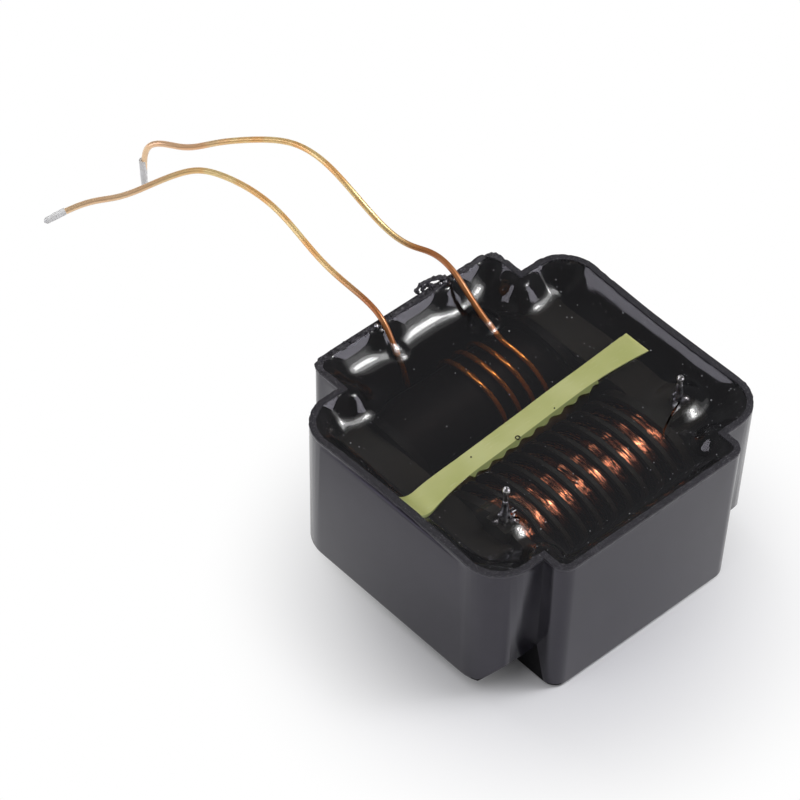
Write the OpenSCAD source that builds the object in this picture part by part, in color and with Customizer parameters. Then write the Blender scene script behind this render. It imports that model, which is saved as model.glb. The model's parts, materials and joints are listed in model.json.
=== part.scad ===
// Potted high-voltage transformer: an open plastic box filled with clear resin,
// which holds a U-shaped core pair, a sectioned secondary and a few primary turns.
// X runs along both coils, Y from the secondary to the primary, Z upwards.

/* [Coils] */
// Radius of the secondary bobbin's flanges
sec_flange_r = 11.5; // [11:0.1:13]
// Distance from one secondary flange to the next
sec_pitch = 3.33; // [3:0.01:3.8]
// Number of secondary winding slots
sec_slots = 10; // [6:1:12]
// Thickness of a secondary flange
sec_flange_t = 0.8; // [0.6:0.1:1.2]
// Thickness of both bobbins' end flanges
end_flange_t = 1.7; // [1.4:0.1:2.2]
// Depth of the copper under the flanges' rims
copper_drop = 1.2; // [0.6:0.1:2]
// Wall of the bobbins' barrels
barrel_t = 1.4; // [1:0.1:1.8]
// Radius of the primary bobbin's end flanges
pri_flange_r = 10.6; // [10.2:0.1:12]
// Radius of the primary bobbin's barrel
pri_barrel_r = 7.9; // [7.4:0.1:8.6]
// Space between the two coils' flanges, where the insulation sheet stands
coil_gap = 3.5; // [3.2:0.1:5]

/* [Primary wire] */
// Diameter of the enamelled primary wire
wire_d = 1.05; // [0.8:0.05:1.2]
// Distance from one primary turn to the next
turn_pitch = 3.1; // [2:0.1:3.4]
// Place along X where the first turn crosses the top
first_turn_x = 1.6; // [0:0.1:3]
// Thickness of the solder on the wire's tips
tip_coat_t = 0.1; // [0.05:0.01:0.2]
// Length of the solder coat on the left lead
tip_left_l = 3.4; // [2:0.1:3.4]
// Length of the solder coat on the right lead
tip_right_l = 6.4; // [4:0.1:6.4]

/* [Core] */
// Diameter of the core's round legs
leg_d = 11; // [10:0.1:11.4]
// Thickness of a yoke along X
yoke_t = 6.7; // [5:0.1:8]
// Height of a yoke
yoke_h = 17; // [14:0.2:19]
// Corner radius of a yoke's face
yoke_r = 1.2; // [0.5:0.1:4]
// Thickness of the spacers between the core's legs
spacer_t = 0.3; // [0.2:0.05:0.8]
// Play of the bobbins between the yokes, at each end
bobbin_play = 0.45; // [0.2:0.05:0.8]
// Play of the legs in the bobbins' bores, on the radius
leg_play = 0.15; // [0.1:0.05:0.3]

/* [Case] */
// Wall of the case
wall_t = 1.4; // [1:0.1:2.2]
// Floor of the case
floor_t = 1.6; // [1:0.1:2.4]
// Space between the secondary and the front wall
front_gap = 4.7; // [3:0.1:7]
// Space between the primary and the back wall
back_gap = 3.6; // [2:0.1:6]
// Space between the coils and the lobes' side walls
lobe_gap = 1.1; // [0.8:0.1:3]
// Space between the yokes and the wings' end walls
side_gap = 3.95; // [2.5:0.05:6]
// Space between the yokes and the wings' front walls
wing_front_gap = 6.2; // [3:0.1:7]
// Space between the yokes and the wings' back walls
wing_back_gap = 1.7; // [1:0.1:4]
// Height of the wings' underside over the base
wing_lift = 2.4; // [0.5:0.1:3.2]
// Height of the sloping cut along the wings' lower front edge
relief_h = 6.1; // [3:0.1:8]
// Length of that sloping cut along Y
relief_l = 4.4; // [2:0.1:6]
// Corner radius of the wings
wing_r = 6.8; // [3:0.1:9]
// Corner radius of the lobes
lobe_r = 2.6; // [1.8:0.1:5]
// Rounding of the bottom edges
foot_r = 0.8; // [0.3:0.1:1.5]
// Taper of the walls in degrees
draft = 1.2; // [0.5:0.1:1.4]
// Height of the rim over the resin
rim_h = 3; // [1.5:0.1:4]
// Resin under the secondary coil
under_gap = 0.9; // [0.5:0.1:2]
// Resin over the secondary coil
over_gap = 0.9; // [0.5:0.1:2]
// Shift of the whole core and coil set along X
set_shift = -0.45; // [-0.6:0.05:0.6]

/* [Sheet] */
// Thickness of the folded insulation sheet
sheet_t = 0.4; // [0.2:0.05:0.6]
// Width of the flat strip at its middle
strip_w_mid = 4.6; // [3:0.1:6]
// Width of the flat strip at its left end
strip_w_left = 5.9; // [4:0.1:7]
// Width of the flat strip at its right end
strip_w_right = 5.1; // [4:0.1:7]
// Turn of the sheet about Z in degrees
sheet_turn = 3.2; // [0:0.1:3.6]
// Height to which the strip's left end curls up the wall
curl_h = 2.4; // [0.5:0.1:2.6]
// Space under the sheet's standing web
web_lift = 4; // [1:0.5:8]

/* [Pins] */
// Diameter of the output pins
pin_d = 1.1; // [0.8:0.05:1.4]
// Free length of the pins over the resin
pin_free = 6.6; // [4:0.1:9]
// Diameter of the pins' rooted part, up to the solder's top
pin_root_d = 1.5; // [1.4:0.05:1.8]
// Distance of the pins in front of the secondary's axis
pin_forward = 1.6; // [0:0.1:4]
// Distance of the right pin outside its end flange
pin_reach = 3.65; // [1:0.05:4]
// Length of a pin lug along Y
lug_l = 4.2; // [3:0.1:6]
// Plastic between a pin and the end of its lug
lug_edge = 0.9; // [0.7:0.05:1.6]
// Plastic under a pin in its lug
lug_base = 0.5; // [0.3:0.1:1]
// Depth of a lug's top under the resin's surface
lug_drop = 0.6; // [0.3:0.1:1]
// Radius of the solder at a pin's foot
solder_r = 1.5; // [1:0.1:2]
// Height of the solder at a pin's foot
solder_h = 1.9; // [1:0.1:3]
// Diameter of the secondary's end wires
tail_d = 0.4; // [0.3:0.05:0.6]

/* [Hidden] */
$fn = 64;
// Facets of a full turn on the tapered shell's corners
shell_fn = 32;
// Share of the bottom rounding at which its middle slice lies
foot_knee = 0.3;
// Least corner radius of a shell slice
least_r = 0.6;
// Clearance between the resin and what it holds
seat = 0.05;
// Overlap of a cut past the face that it opens
eps = 0.01;
// Clearance between the yokes and what lies over them
yoke_clear = 0.2;

// Coil and core layout
bobbin_l = sec_slots * sec_pitch + end_flange_t;
window_l = bobbin_l + 2 * bobbin_play;
core_w = window_l + 2 * yoke_t;
leg_pitch = sec_flange_r + pri_flange_r + coil_gap;
copper_r = sec_flange_r - copper_drop;
bore_r = leg_d / 2 + leg_play;
sec_barrel_r = bore_r + barrel_t;

// Case outline
case_w = core_w + 2 * (side_gap + wall_t);
case_l = 2 * (sec_flange_r + pri_flange_r + wall_t) + coil_gap + front_gap + back_gap;
lobe_w = bobbin_l + 2 * (lobe_gap + wall_t);
sec_y = -case_l / 2 + wall_t + front_gap + sec_flange_r;
pri_y = sec_y + leg_pitch;
axis_z = floor_t + under_gap + sec_flange_r;
resin_z = axis_z + sec_flange_r + over_gap;
case_h = resin_z + rim_h;
wing_front = leg_d / 2 - sec_y + wing_front_gap + wall_t;
wing_back = leg_d / 2 + pri_y + wing_back_gap + wall_t;
wing_l = wing_front + wing_back;
wing_y = (wing_back - wing_front) / 2;
yoke_top = axis_z + yoke_h / 2;

// Primary wire
wire_r = wire_d / 2;
turn_steps = 16;
turn_step = 360 / turn_steps;
turn_r = (pri_barrel_r + wire_r + seat) / cos(turn_step / 2);
turn_count = 3;
// Angles at which the wire meets and leaves the barrel, from the inner side
wrap_from = -180;
wrap_to = 360 * turn_count + 90;
// Shift along X over the half turn that leads in, and where that half turn starts
lead_in_x = -4.8;
turn_x0 = first_turn_x - turn_pitch / 4;
pocket_from = lead_in_x - wire_d;
pocket_to = turn_x0 + turn_pitch * (turn_count + 0.25) + wire_d;

// Insulation sheet
sheet_share = 0.47;
sheet_y = sec_y + sec_flange_r + coil_gap * sheet_share;
strip_wall_gap = 0.25;
strip_over_yoke = 0.6;
strip_left = -case_w / 2 + wall_t + strip_wall_gap;
strip_right = set_shift + core_w / 2 + strip_over_yoke;
fold_r = 2.6;
web_end_gap = 0.6;
// Where along its two halves the strip starts and ends its slim middle
flare_from = 0.85;
slim_from = 0.4;
slim_to = 0.1;

// Output pins
left_pin_shift = 0.3;
left_pin_x = set_shift - bobbin_l / 2 + end_flange_t / 2 - left_pin_shift;
right_pin_x = set_shift + bobbin_l / 2 + pin_reach;
pin_y = sec_y - pin_forward;
lug_top = resin_z - lug_drop;
lug_foot = yoke_top + yoke_clear;
pin_foot = lug_foot + lug_base;
pin_top = resin_z + pin_free;
solder_top = resin_z + solder_h;
solder_lip = 0.05;
bead_z = resin_z + solder_h / 2;
bead_r = 0.64;
tail_reach = 3.1;

// Route of the left lead in the air, from the resin to its tip
left_route = [
    [-5, 23, 18.5], [-5, 23.8, 22], [-5, 24.8, 25], [-5.5, 26, 28], [-5, 27.5, 30], [-4.5, 31, 31],
    [-5, 35, 31.5], [-5.5, 40, 32], [-5.5, 44, 33], [-5.5, 48, 34.5], [-5, 53, 36],
    [-5.5, 56.5, 36.5], [-6, 60, 37], [-7, 63.5, 37], [-8, 66.5, 37], [-9, 68.5, 36.5],
    [-10, 70, 36], [-12, 71.5, 35], [-14.5, 73, 34], [-18, 74.5, 32.5], [-20, 76, 31.5],
    [-21.5, 77.5, 31], [-23.5, 79.5, 30.5], [-26, 80.5, 30], [-30.5, 82, 28.5]];
// Route of the right lead in the air, from the resin to its tip
right_route = [
    [10.5, 16.5, 23.5], [10.5, 18.8, 25], [10, 20.5, 26.5], [10, 23.5, 28.5], [10, 25.5, 30],
    [10.5, 28, 31], [10.5, 31, 32], [10, 33.5, 32], [9, 35, 32], [8, 36.5, 32], [7, 39, 33],
    [6.5, 41.5, 34], [6, 45, 36], [5.5, 48, 38], [5.5, 52, 39.5], [5.5, 55.5, 40],
    [5, 58.5, 40], [4.5, 61.5, 40], [2.5, 65, 39], [-0.5, 69.5, 37], [-2, 72, 36],
    [-4, 73.5, 35], [-6, 75, 34.5], [-7, 76.5, 34.5], [-8, 78.5, 34.5], [-9, 80.5, 34],
    [-9.7, 81.8, 32.5], [-10, 82, 30], [-9.5, 82, 23]];
// Number of points of each route that lie in the resin
left_sunk = 3;
right_sunk = 3;

// A rectangle with round corners, centred on the origin
module round_rect(w, l, r) {
    square([w - 2 * r, l], center = true);
    square([w, l - 2 * r], center = true);
    for (x = [-1, 1], y = [-1, 1])
        translate([x * (w / 2 - r), y * (l / 2 - r)])
            circle(r);
}

// A block with round corners, tapered walls and a rounded bottom edge
module tapered_block(w, l, r, from, to, foot) {
    lean = (to - from) * tan(draft);
    hull() {
        shell_slice(w, l, r, lean + foot, from);
        shell_slice(w, l, r, lean + foot * foot_knee, from + foot * foot_knee);
        shell_slice(w, l, r, lean * (1 - foot / (to - from)), from + foot);
        shell_slice(w, l, r, 0, to - eps);
    }
}

module shell_slice(w, l, r, inset, z) {
    translate([0, 0, z])
        linear_extrude(eps)
            round_rect(w - 2 * inset, l - 2 * inset, max(r - inset, least_r), $fn = shell_fn);
}

// The wedge under the sloping cut of the wings, moved in by t
module relief_wedge(t) {
    slope = atan2(relief_h, relief_l);
    drop = t / cos(slope);
    translate([-case_w, 0, 0])
        rotate([90, 0, 90])
            linear_extrude(2 * case_w)
                polygon([
                    [-wing_front - case_l, -case_h],
                    [-wing_front + relief_l * 3, -case_h],
                    [-wing_front + relief_l * 3, wing_lift + drop - relief_h * 2],
                    [-wing_front - relief_l, wing_lift + drop + relief_h * 2],
                    [-wing_front - case_l, wing_lift + drop + relief_h * 2]]);
}

// The plus-shaped body, with its faces moved in by t at the walls and up by f at the floor
module plus_body(t, f, top, foot) {
    difference() {
        translate([0, wing_y, 0])
            tapered_block(case_w - 2 * t, wing_l - 2 * t, wing_r - t, wing_lift + f, top, foot);
        relief_wedge(f);
    }
    tapered_block(lobe_w - 2 * t, case_l - 2 * t, lobe_r - t, f, top, foot);
}

module case() {
    color("#2a292e")
        difference() {
            plus_body(0, 0, case_h, foot_r);
            plus_body(wall_t, floor_t, case_h + eps * 2, foot_r);
        }
}

// A cylinder along X between two places
module x_rod(from, to, r) {
    translate([from, 0, 0])
        rotate([0, 90, 0])
            cylinder(h = to - from, r = r);
}

module at_secondary() {
    translate([set_shift, sec_y, axis_z])
        children();
}

module at_primary() {
    translate([set_shift, pri_y, axis_z])
        children();
}

function flange_x(i) = -sec_slots * sec_pitch / 2 + i * sec_pitch;
function flange_t(i) = (i == 0 || i == sec_slots) ? end_flange_t : sec_flange_t;
// The wire's crossing lies at alternate sides of the coil's foot
function crossing_side(i) = i % 2 == 0 ? 1 : -1;
crossing_y = 4;
crossing_w = 0.8;

module flange_discs(r) {
    for (i = [0:sec_slots])
        x_rod(flange_x(i) - flange_t(i) / 2 - (r - sec_flange_r),
            flange_x(i) + flange_t(i) / 2 + (r - sec_flange_r), r);
}

// The lug that holds a pin, between two places along X
module pin_lug(from, to, grow) {
    translate([from - grow, pin_y - lug_l / 2 - grow, lug_foot - grow])
        cube([to - from + 2 * grow, lug_l + 2 * grow, lug_top - lug_foot + 2 * grow]);
}

module both_lugs(grow) {
    inner = bobbin_l / 2 - end_flange_t;
    pin_lug(left_pin_x - lug_edge - pin_root_d / 2, set_shift - inner, grow);
    pin_lug(set_shift + inner, right_pin_x + lug_edge + pin_root_d / 2, grow);
}

module secondary_bobbin() {
    color("#1f1e22")
        difference() {
            union() {
                at_secondary() {
                    flange_discs(sec_flange_r);
                    x_rod(-bobbin_l / 2, bobbin_l / 2, sec_barrel_r);
                }
                both_lugs(0);
            }
            at_secondary() {
                x_rod(-bobbin_l, bobbin_l, bore_r);
                for (i = [1:sec_slots - 1])
                    crossing(i, crossing_w + 2 * seat, seat);
            }
            pin_hole(left_pin_x);
            pin_hole(right_pin_x);
        }
}

// The short bridge of wire through a flange, which joins two winding sections
module crossing(i, w, grow) {
    depth = copper_r - sec_barrel_r;
    translate([flange_x(i) - sec_pitch / 2, crossing_side(i) * crossing_y - w / 2, -copper_r])
        cube([sec_pitch, w, depth - crossing_w + grow]);
}

module pin_hole(x) {
    translate([x, pin_y, pin_foot])
        cylinder(h = case_h, r = pin_root_d / 2);
}

// Copper rings between the flanges, bridged through them, with an end wire to each pin
module secondary_winding() {
    color("#b5622f")
        difference() {
            union() {
                at_secondary()
                    for (i = [0:sec_slots - 1])
                        x_rod(flange_x(i) + flange_t(i) / 2, flange_x(i + 1) - flange_t(i + 1) / 2,
                            copper_r);
                at_secondary()
                    intersection() {
                        x_rod(-bobbin_l / 2, bobbin_l / 2, copper_r);
                        for (i = [1:sec_slots - 1])
                            crossing(i, crossing_w, 0);
                    }
                end_wire(left_tail_x);
                end_wire(right_tail_x);
            }
            at_secondary()
                x_rod(-bobbin_l, bobbin_l, sec_barrel_r);
        }
}

left_tail_x = set_shift + flange_x(0) + sec_pitch / 2;
right_tail_x = set_shift + flange_x(sec_slots) - sec_pitch / 2;
tail_y = pin_y - tail_reach;

module end_wire(x) {
    translate([x, tail_y, axis_z])
        cylinder(h = resin_z - axis_z + solder_h, r = tail_d / 2);
}

// Half of the core: a yoke with a round leg through each coil
module core_half(side) {
    face = set_shift + side * window_l / 2;
    middle = set_shift + side * spacer_t / 2;
    color("#3b3a3e")
        union() {
            translate([side > 0 ? face : face - yoke_t, (sec_y + pri_y) / 2, axis_z])
                rotate([90, 0, 90])
                    linear_extrude(yoke_t)
                        round_rect(leg_pitch + leg_d, yoke_h, yoke_r);
            for (y = [sec_y, pri_y])
                translate([0, y, axis_z])
                    x_rod(min(face, middle), max(face, middle), leg_d / 2);
        }
}

module core_half_left() {
    core_half(-1);
}

module core_half_right() {
    core_half(1);
}

module gap_spacer(y) {
    color("#e4dcc4")
        translate([set_shift, y, axis_z])
            x_rod(-spacer_t / 2, spacer_t / 2, leg_d / 2);
}

module gap_spacer_front() {
    gap_spacer(sec_y);
}

module gap_spacer_back() {
    gap_spacer(pri_y);
}

module primary_bobbin() {
    color("#1f1e22")
        at_primary()
            difference() {
                union() {
                    x_rod(-bobbin_l / 2, bobbin_l / 2, pri_barrel_r);
                    x_rod(-bobbin_l / 2, end_flange_t - bobbin_l / 2, pri_flange_r);
                    x_rod(bobbin_l / 2 - end_flange_t, bobbin_l / 2, pri_flange_r);
                }
                x_rod(-bobbin_l, bobbin_l, bore_r);
            }
}

// Points of the wrapped part of the primary wire
function turn_x(a) = a < 0
    ? lead_in_x + (turn_x0 - lead_in_x) * (a - wrap_from) / -wrap_from
    : turn_x0 + turn_pitch * a / 360;
function turn_point(a) = [turn_x(a), pri_y - turn_r * cos(a), axis_z + turn_r * sin(a)];
turns = [for (a = [wrap_from:turn_step:wrap_to]) turn_point(a)];

function reversed(list) = [for (i = [len(list) - 1:-1:0]) list[i]];
route = concat(reversed(left_route), turns, right_route);

function unit(v) = v / norm(v);
function tangent_at(path, i) =
    unit(path[min(i + 1, len(path) - 1)] - path[max(i - 1, 0)]);
// A ring of corners round a path's point, square to the path
function ring_at(path, i, r, sides) =
    let (
        t = tangent_at(path, i),
        a = unit([1, 0, 0] - t[0] * t),
        b = cross(t, a)
    )
    [for (k = [0:sides - 1])
        path[i] + r * (cos(360 * k / sides) * a + sin(360 * k / sides) * b)];

// A tube along a path, as one closed skin
module tube(path, r, sides) {
    rings = len(path);
    corners = [for (i = [0:rings - 1]) each ring_at(path, i, r, sides)];
    skin = [for (i = [0:rings - 2], k = [0:sides - 1], half = [0, 1])
        let (
            here = i * sides + k,
            next = i * sides + (k + 1) % sides
        )
        half == 0 ? [here, here + sides, next] : [next, here + sides, next + sides]];
    first = [for (k = [0:sides - 1]) k];
    last = [for (k = [sides - 1:-1:0]) (rings - 1) * sides + k];
    polyhedron(corners, concat(skin, [first, last]));
}

module primary_winding() {
    color("#8e4a2c")
        tube(route, wire_r, 8);
}

// A straight rod from one point to another
module rod(from, to, r) {
    along(from, to)
        cylinder(h = norm(to - from), r = r);
}

// Turns what stands along Z so that it runs from one point towards another
module along(from, to) {
    step = to - from;
    translate(from)
        rotate([0, acos(step[2] / norm(step)), atan2(step[1], step[0])])
            children();
}

// The solder coat round the end of a lead: a sleeve with a round end
module lead_tip(path, l) {
    end = path[len(path) - 1];
    back = unit(end - path[len(path) - 2]);
    r = wire_r + tip_coat_t;
    color("#c9c9cc")
        along(end - back * l, end)
            rotate_extrude()
                difference() {
                    union() {
                        square([r, l]);
                        intersection() {
                            translate([0, l])
                                circle(r);
                            square([r, l + r]);
                        }
                    }
                    translate([-r, -r])
                        square([r + wire_r, l + r]);
                }
}

module lead_tip_left() {
    lead_tip(left_route, tip_left_l);
}

module lead_tip_right() {
    lead_tip(right_route, tip_right_l);
}

module at_sheet() {
    translate([0, sheet_y, 0])
        rotate([0, 0, sheet_turn])
            children();
}

// The flat strip seen from above, from its left end to its right one
module strip_plan() {
    polygon([
        [strip_left - fold_r, 0], [strip_left - fold_r, -strip_w_left],
        [strip_left * flare_from, -strip_w_left],
        [strip_left * slim_from, -strip_w_mid], [strip_right * slim_to, -strip_w_mid],
        [strip_right, -strip_w_right], [strip_right, 0]]);
}

// The strip seen along Y: flat on the resin, and curled up at the left wall
module strip_side() {
    translate([strip_left + fold_r, 0])
        square([strip_right - strip_left - fold_r, sheet_t]);
    translate([strip_left + fold_r, fold_r])
        intersection() {
            difference() {
                circle(fold_r);
                circle(fold_r - sheet_t);
            }
            translate([-fold_r, -fold_r])
                square([fold_r, min(curl_h, fold_r)]);
        }
}

module insulation_sheet() {
    color("#b4a83a")
        at_sheet() {
            intersection() {
                translate([0, 0, resin_z])
                    rotate([90, 0, 0])
                        linear_extrude(strip_w_left + 2)
                            strip_side();
                translate([0, 0, resin_z - 1])
                    linear_extrude(case_h)
                        strip_plan();
            }
            sheet_web(0);
        }
}

// The part of the sheet that stands between the coils, over and between the yokes
module sheet_web(grow) {
    web_half = window_l / 2 - web_end_gap;
    web_foot = floor_t + web_lift;
    bridge = yoke_top + yoke_clear;
    translate([set_shift - web_half - grow, -sheet_t - grow, web_foot - grow])
        cube([2 * (web_half + grow), sheet_t + 2 * grow, resin_z - web_foot + sheet_t]);
    translate([strip_left + fold_r - grow, -sheet_t - grow, bridge - grow])
        cube([strip_right - strip_left - fold_r + 2 * grow, sheet_t + 2 * grow,
            resin_z - bridge + sheet_t / 2]);
}

module output_pin(x) {
    color("#c4c4c8")
        translate([x, pin_y, 0]) {
            translate([0, 0, pin_foot])
                cylinder(h = solder_top - pin_foot, r = pin_root_d / 2);
            translate([0, 0, solder_top])
                cylinder(h = pin_top - solder_top - pin_d / 2, r = pin_d / 2);
            translate([0, 0, pin_top - pin_d / 2])
                sphere(pin_d / 2);
        }
}

module output_pin_left() {
    output_pin(left_pin_x);
}

module output_pin_right() {
    output_pin(right_pin_x);
}

// The solder cone round a pin's foot, with the bead that takes the end wire
module pin_solder(x, tail_x) {
    color("#b9b9bd")
        difference() {
            union() {
                translate([x, pin_y, resin_z])
                    cylinder(h = solder_h, r1 = solder_r, r2 = pin_root_d / 2 + solder_lip);
                rod([x, pin_y, bead_z], [tail_x, tail_y, bead_z], tail_d);
                translate([tail_x, tail_y, bead_z])
                    sphere(bead_r);
            }
            pin_hole(x);
            translate([tail_x, tail_y, axis_z])
                cylinder(h = case_h, r = tail_d / 2);
        }
}

module pin_solder_left() {
    pin_solder(left_pin_x, left_tail_x);
}

module pin_solder_right() {
    pin_solder(right_pin_x, right_tail_x);
}

// Room in the resin for everything that it holds
module held_parts() {
    at_secondary() {
        flange_discs(sec_flange_r + seat);
        x_rod(-bobbin_l / 2, bobbin_l / 2, copper_r + seat);
    }
    both_lugs(seat);
    for (x = [left_pin_x, right_pin_x])
        pin_room(x, pin_y, pin_root_d / 2 + seat);
    for (x = [left_tail_x, right_tail_x])
        pin_room(x, tail_y, tail_d / 2 + seat);
    for (side = [-1, 1])
        yoke_room(side);
    at_primary() {
        x_rod(-bobbin_l / 2 - seat, bobbin_l / 2 + seat, pri_barrel_r + seat);
        for (x = [-bobbin_l / 2, bobbin_l / 2 - end_flange_t])
            x_rod(x - seat, x + end_flange_t + seat, pri_flange_r + seat);
    }
    translate([0, pri_y, axis_z])
        x_rod(pocket_from, pocket_to, turn_r + wire_r + seat);
    lead_room(wrap_from + turn_step, left_route, left_sunk);
    lead_room(wrap_to - turn_step, right_route, right_sunk);
    at_sheet()
        sheet_web(seat);
}

module pin_room(x, y, r) {
    translate([x, y, lug_foot])
        cylinder(h = case_h, r = r);
}

module yoke_room(side) {
    face = set_shift + side * window_l / 2;
    translate([side > 0 ? face - seat : face - yoke_t - seat, (sec_y + pri_y) / 2, axis_z])
        rotate([90, 0, 90])
            linear_extrude(yoke_t + 2 * seat)
                round_rect(leg_pitch + leg_d + 2 * seat, yoke_h + 2 * seat, yoke_r + seat);
    for (y = [sec_y, pri_y])
        translate([set_shift, y, axis_z])
            x_rod(-window_l / 2 - seat, window_l / 2 + seat, leg_d / 2 + seat);
}

// A channel round the sunk part of a lead, from inside the turns' room to over the resin
module lead_room(first_a, path, sunk) {
    inner = [turn_point(first_a), turn_point(first_a < 0 ? wrap_from : wrap_to)];
    tube(concat(inner, [for (i = [0:sunk]) path[i]]), wire_r + 2 * seat, 8);
}

module potting_resin() {
    color("#3a2416", 0.6)
        difference() {
            intersection() {
                plus_body(wall_t, floor_t, case_h + eps * 2, foot_r);
                translate([-case_w, -case_l, 0])
                    cube([2 * case_w, 2 * case_l, resin_z]);
            }
            held_parts();
        }
}

case();
potting_resin();
core_half_left();
core_half_right();
gap_spacer_front();
gap_spacer_back();
secondary_bobbin();
secondary_winding();
primary_bobbin();
primary_winding();
lead_tip_left();
lead_tip_right();
insulation_sheet();
output_pin_left();
output_pin_right();
pin_solder_left();
pin_solder_right();
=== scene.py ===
"""Looks of a potted high-voltage transformer: a black plastic box full of clear dark resin,
with copper coils under its surface, two output pins and two bare enamelled leads."""
import json
import math
import random

import bmesh
import bpy
from mathutils import Matrix, Vector, noise

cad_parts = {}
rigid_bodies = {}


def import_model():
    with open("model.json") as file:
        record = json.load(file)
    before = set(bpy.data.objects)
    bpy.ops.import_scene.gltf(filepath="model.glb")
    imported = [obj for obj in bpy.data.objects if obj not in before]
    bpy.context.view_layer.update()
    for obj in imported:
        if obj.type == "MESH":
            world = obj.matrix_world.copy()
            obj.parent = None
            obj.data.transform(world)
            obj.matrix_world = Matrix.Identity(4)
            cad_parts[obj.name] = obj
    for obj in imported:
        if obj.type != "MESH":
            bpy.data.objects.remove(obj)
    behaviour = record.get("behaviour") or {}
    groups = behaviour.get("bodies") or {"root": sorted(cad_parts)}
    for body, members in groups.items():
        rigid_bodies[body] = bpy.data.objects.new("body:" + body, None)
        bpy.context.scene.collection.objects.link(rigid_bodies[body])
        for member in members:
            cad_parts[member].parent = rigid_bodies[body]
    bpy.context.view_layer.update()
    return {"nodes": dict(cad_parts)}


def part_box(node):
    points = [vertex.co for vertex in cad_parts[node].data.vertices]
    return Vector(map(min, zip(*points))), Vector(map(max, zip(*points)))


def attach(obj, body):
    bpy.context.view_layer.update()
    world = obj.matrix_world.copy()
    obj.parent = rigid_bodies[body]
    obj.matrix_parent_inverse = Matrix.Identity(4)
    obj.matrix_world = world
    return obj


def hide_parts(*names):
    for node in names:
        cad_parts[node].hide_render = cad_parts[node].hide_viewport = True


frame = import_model()

MM = 0.001


def middle_of(node):
    """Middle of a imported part, in millimetres to the hundredth."""
    low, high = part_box(node)
    return [round(v / 2 / MM, 2) for v in low + high]


# Case, in millimetres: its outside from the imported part, the rest as in the part's source
case_low, case_high = (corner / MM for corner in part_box("case"))
rim_z = case_high.z
case_w = case_high.x - case_low.x
case_l = case_high.y - case_low.y
floor_t = 1.6
lobe_w = 40.0
lobe_r = 2.6
wing_r = 6.8
wing_front = 24.9
wing_back = 22.4
wing_y = (wing_back - wing_front) / 2
wing_lift = 2.4
relief_h = 6.1
relief_l = 4.4
draft = math.radians(1.2)
foot_r = 0.8
# The wall's thickness at the rim, as the photograph shows it
rim_t = 1.1
rough_rim_h = 1.1
rim_bow = 0.45

# Resin: its level, how far its surface sags behind the strip and in front of it, and how far
# its sides are sunk into the case's walls, so that no gap shows
resin_z = round(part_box("potting_resin")[1].z / MM, 2)
back_dip = 1.6
front_dip = 0.55
resin_sink = 0.08

# Coils, whose axes run through the gap spacers
set_shift, sec_y, axis_z = middle_of("gap_spacer_front")
pri_y = middle_of("gap_spacer_back")[1]
sec_slots = 10
sec_pitch = 3.33
copper_r = 10.3
end_flange_t = 1.7
sec_flange_t = 0.8
strand_r = 0.14
strands_a_slot = 9
end_wire_r = 0.16

# Primary wire: its turns, and the place where the left lead joins them
wire_d = 1.05
turn_pitch = 3.1
turn_r = 8.64
turn_x0 = 0.825
last_turn_degrees = 1170
lead_in_x = -4.8

# Output pins, and the line on which the fine wire's ends come up to them
left_pin_x, pin_y, _ = middle_of("output_pin_left")
right_pin_x = middle_of("output_pin_right")[0]
tail_y = -16.5

# Strip on the resin's surface: its back edge, its width, and how far the width flares at
# both ends, where each flare starts and how long it is
strip_left = -28.3
strip_right = 24.9
strip_back = 1.35
strip_slope = 0.056
strip_w = 3.75
right_flare, right_flare_x, right_flare_l = 1.3, 10.0, 14.0
left_flare, left_flare_x, left_flare_l = 1.9, -12.0, 16.0
# Part of the strip's front edge that is sunk in the resin over the ribbed coil
sunk_from = -15
sunk_to = 14
sunk_w = 4.5
# Where the strip starts to curl up at the left wall, over what length and how high
curl_x, curl_l, curl_h = -24.2, 4.1, 2.2

# The leads, from the resin to their tips, by the points of the part's source. A few of the
# right one's are up to 0.1 mm less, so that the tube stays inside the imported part's box.
left_route = [
    (-5, 23, 18.5), (-5, 23.8, 22), (-5, 24.8, 25), (-5.5, 26, 28), (-5, 27.5, 30), (-4.5, 31, 31),
    (-5, 35, 31.5), (-5.5, 40, 32), (-5.5, 44, 33), (-5.5, 48, 34.5), (-5, 53, 36),
    (-5.5, 56.5, 36.5), (-6, 60, 37), (-7, 63.5, 37), (-8, 66.5, 37), (-9, 68.5, 36.5),
    (-10, 70, 36), (-12, 71.5, 35), (-14.5, 73, 34), (-18, 74.5, 32.5), (-20, 76, 31.5),
    (-21.5, 77.5, 31), (-23.5, 79.5, 30.5), (-26, 80.5, 30), (-30.5, 82, 28.5)]
right_route = [
    (10.5, 16.5, 23.5), (10.5, 18.8, 25), (10, 20.5, 26.5), (10, 23.5, 28.5), (10, 25.5, 30),
    (10.5, 28, 31), (10.5, 31, 32), (10, 33.5, 32), (9, 35, 32), (8, 36.5, 32), (7, 39, 33),
    (6.5, 41.5, 34), (6, 45, 36), (5.5, 48, 38), (5.5, 52, 39.4), (5.5, 55.5, 39.9),
    (5, 58.5, 39.9), (4.5, 61.5, 39.9), (2.5, 65, 39), (-0.5, 69.5, 37), (-2, 72, 36),
    (-4, 73.5, 35), (-6, 75, 34.5), (-7, 76.5, 34.5), (-8, 78.5, 34.5), (-9, 80.5, 34),
    (-9.7, 81.75, 32.5), (-10, 81.95, 30), (-9.5, 81.95, 23)]


def placed(name, data):
    """A new object in the scene."""
    thing = bpy.data.objects.new(name, data)
    bpy.context.scene.collection.objects.link(thing)
    return thing


def copied(piece):
    """A copy of a piece with its own mesh."""
    twin = piece.copy()
    twin.data = piece.data.copy()
    bpy.context.scene.collection.objects.link(twin)
    return twin


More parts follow.
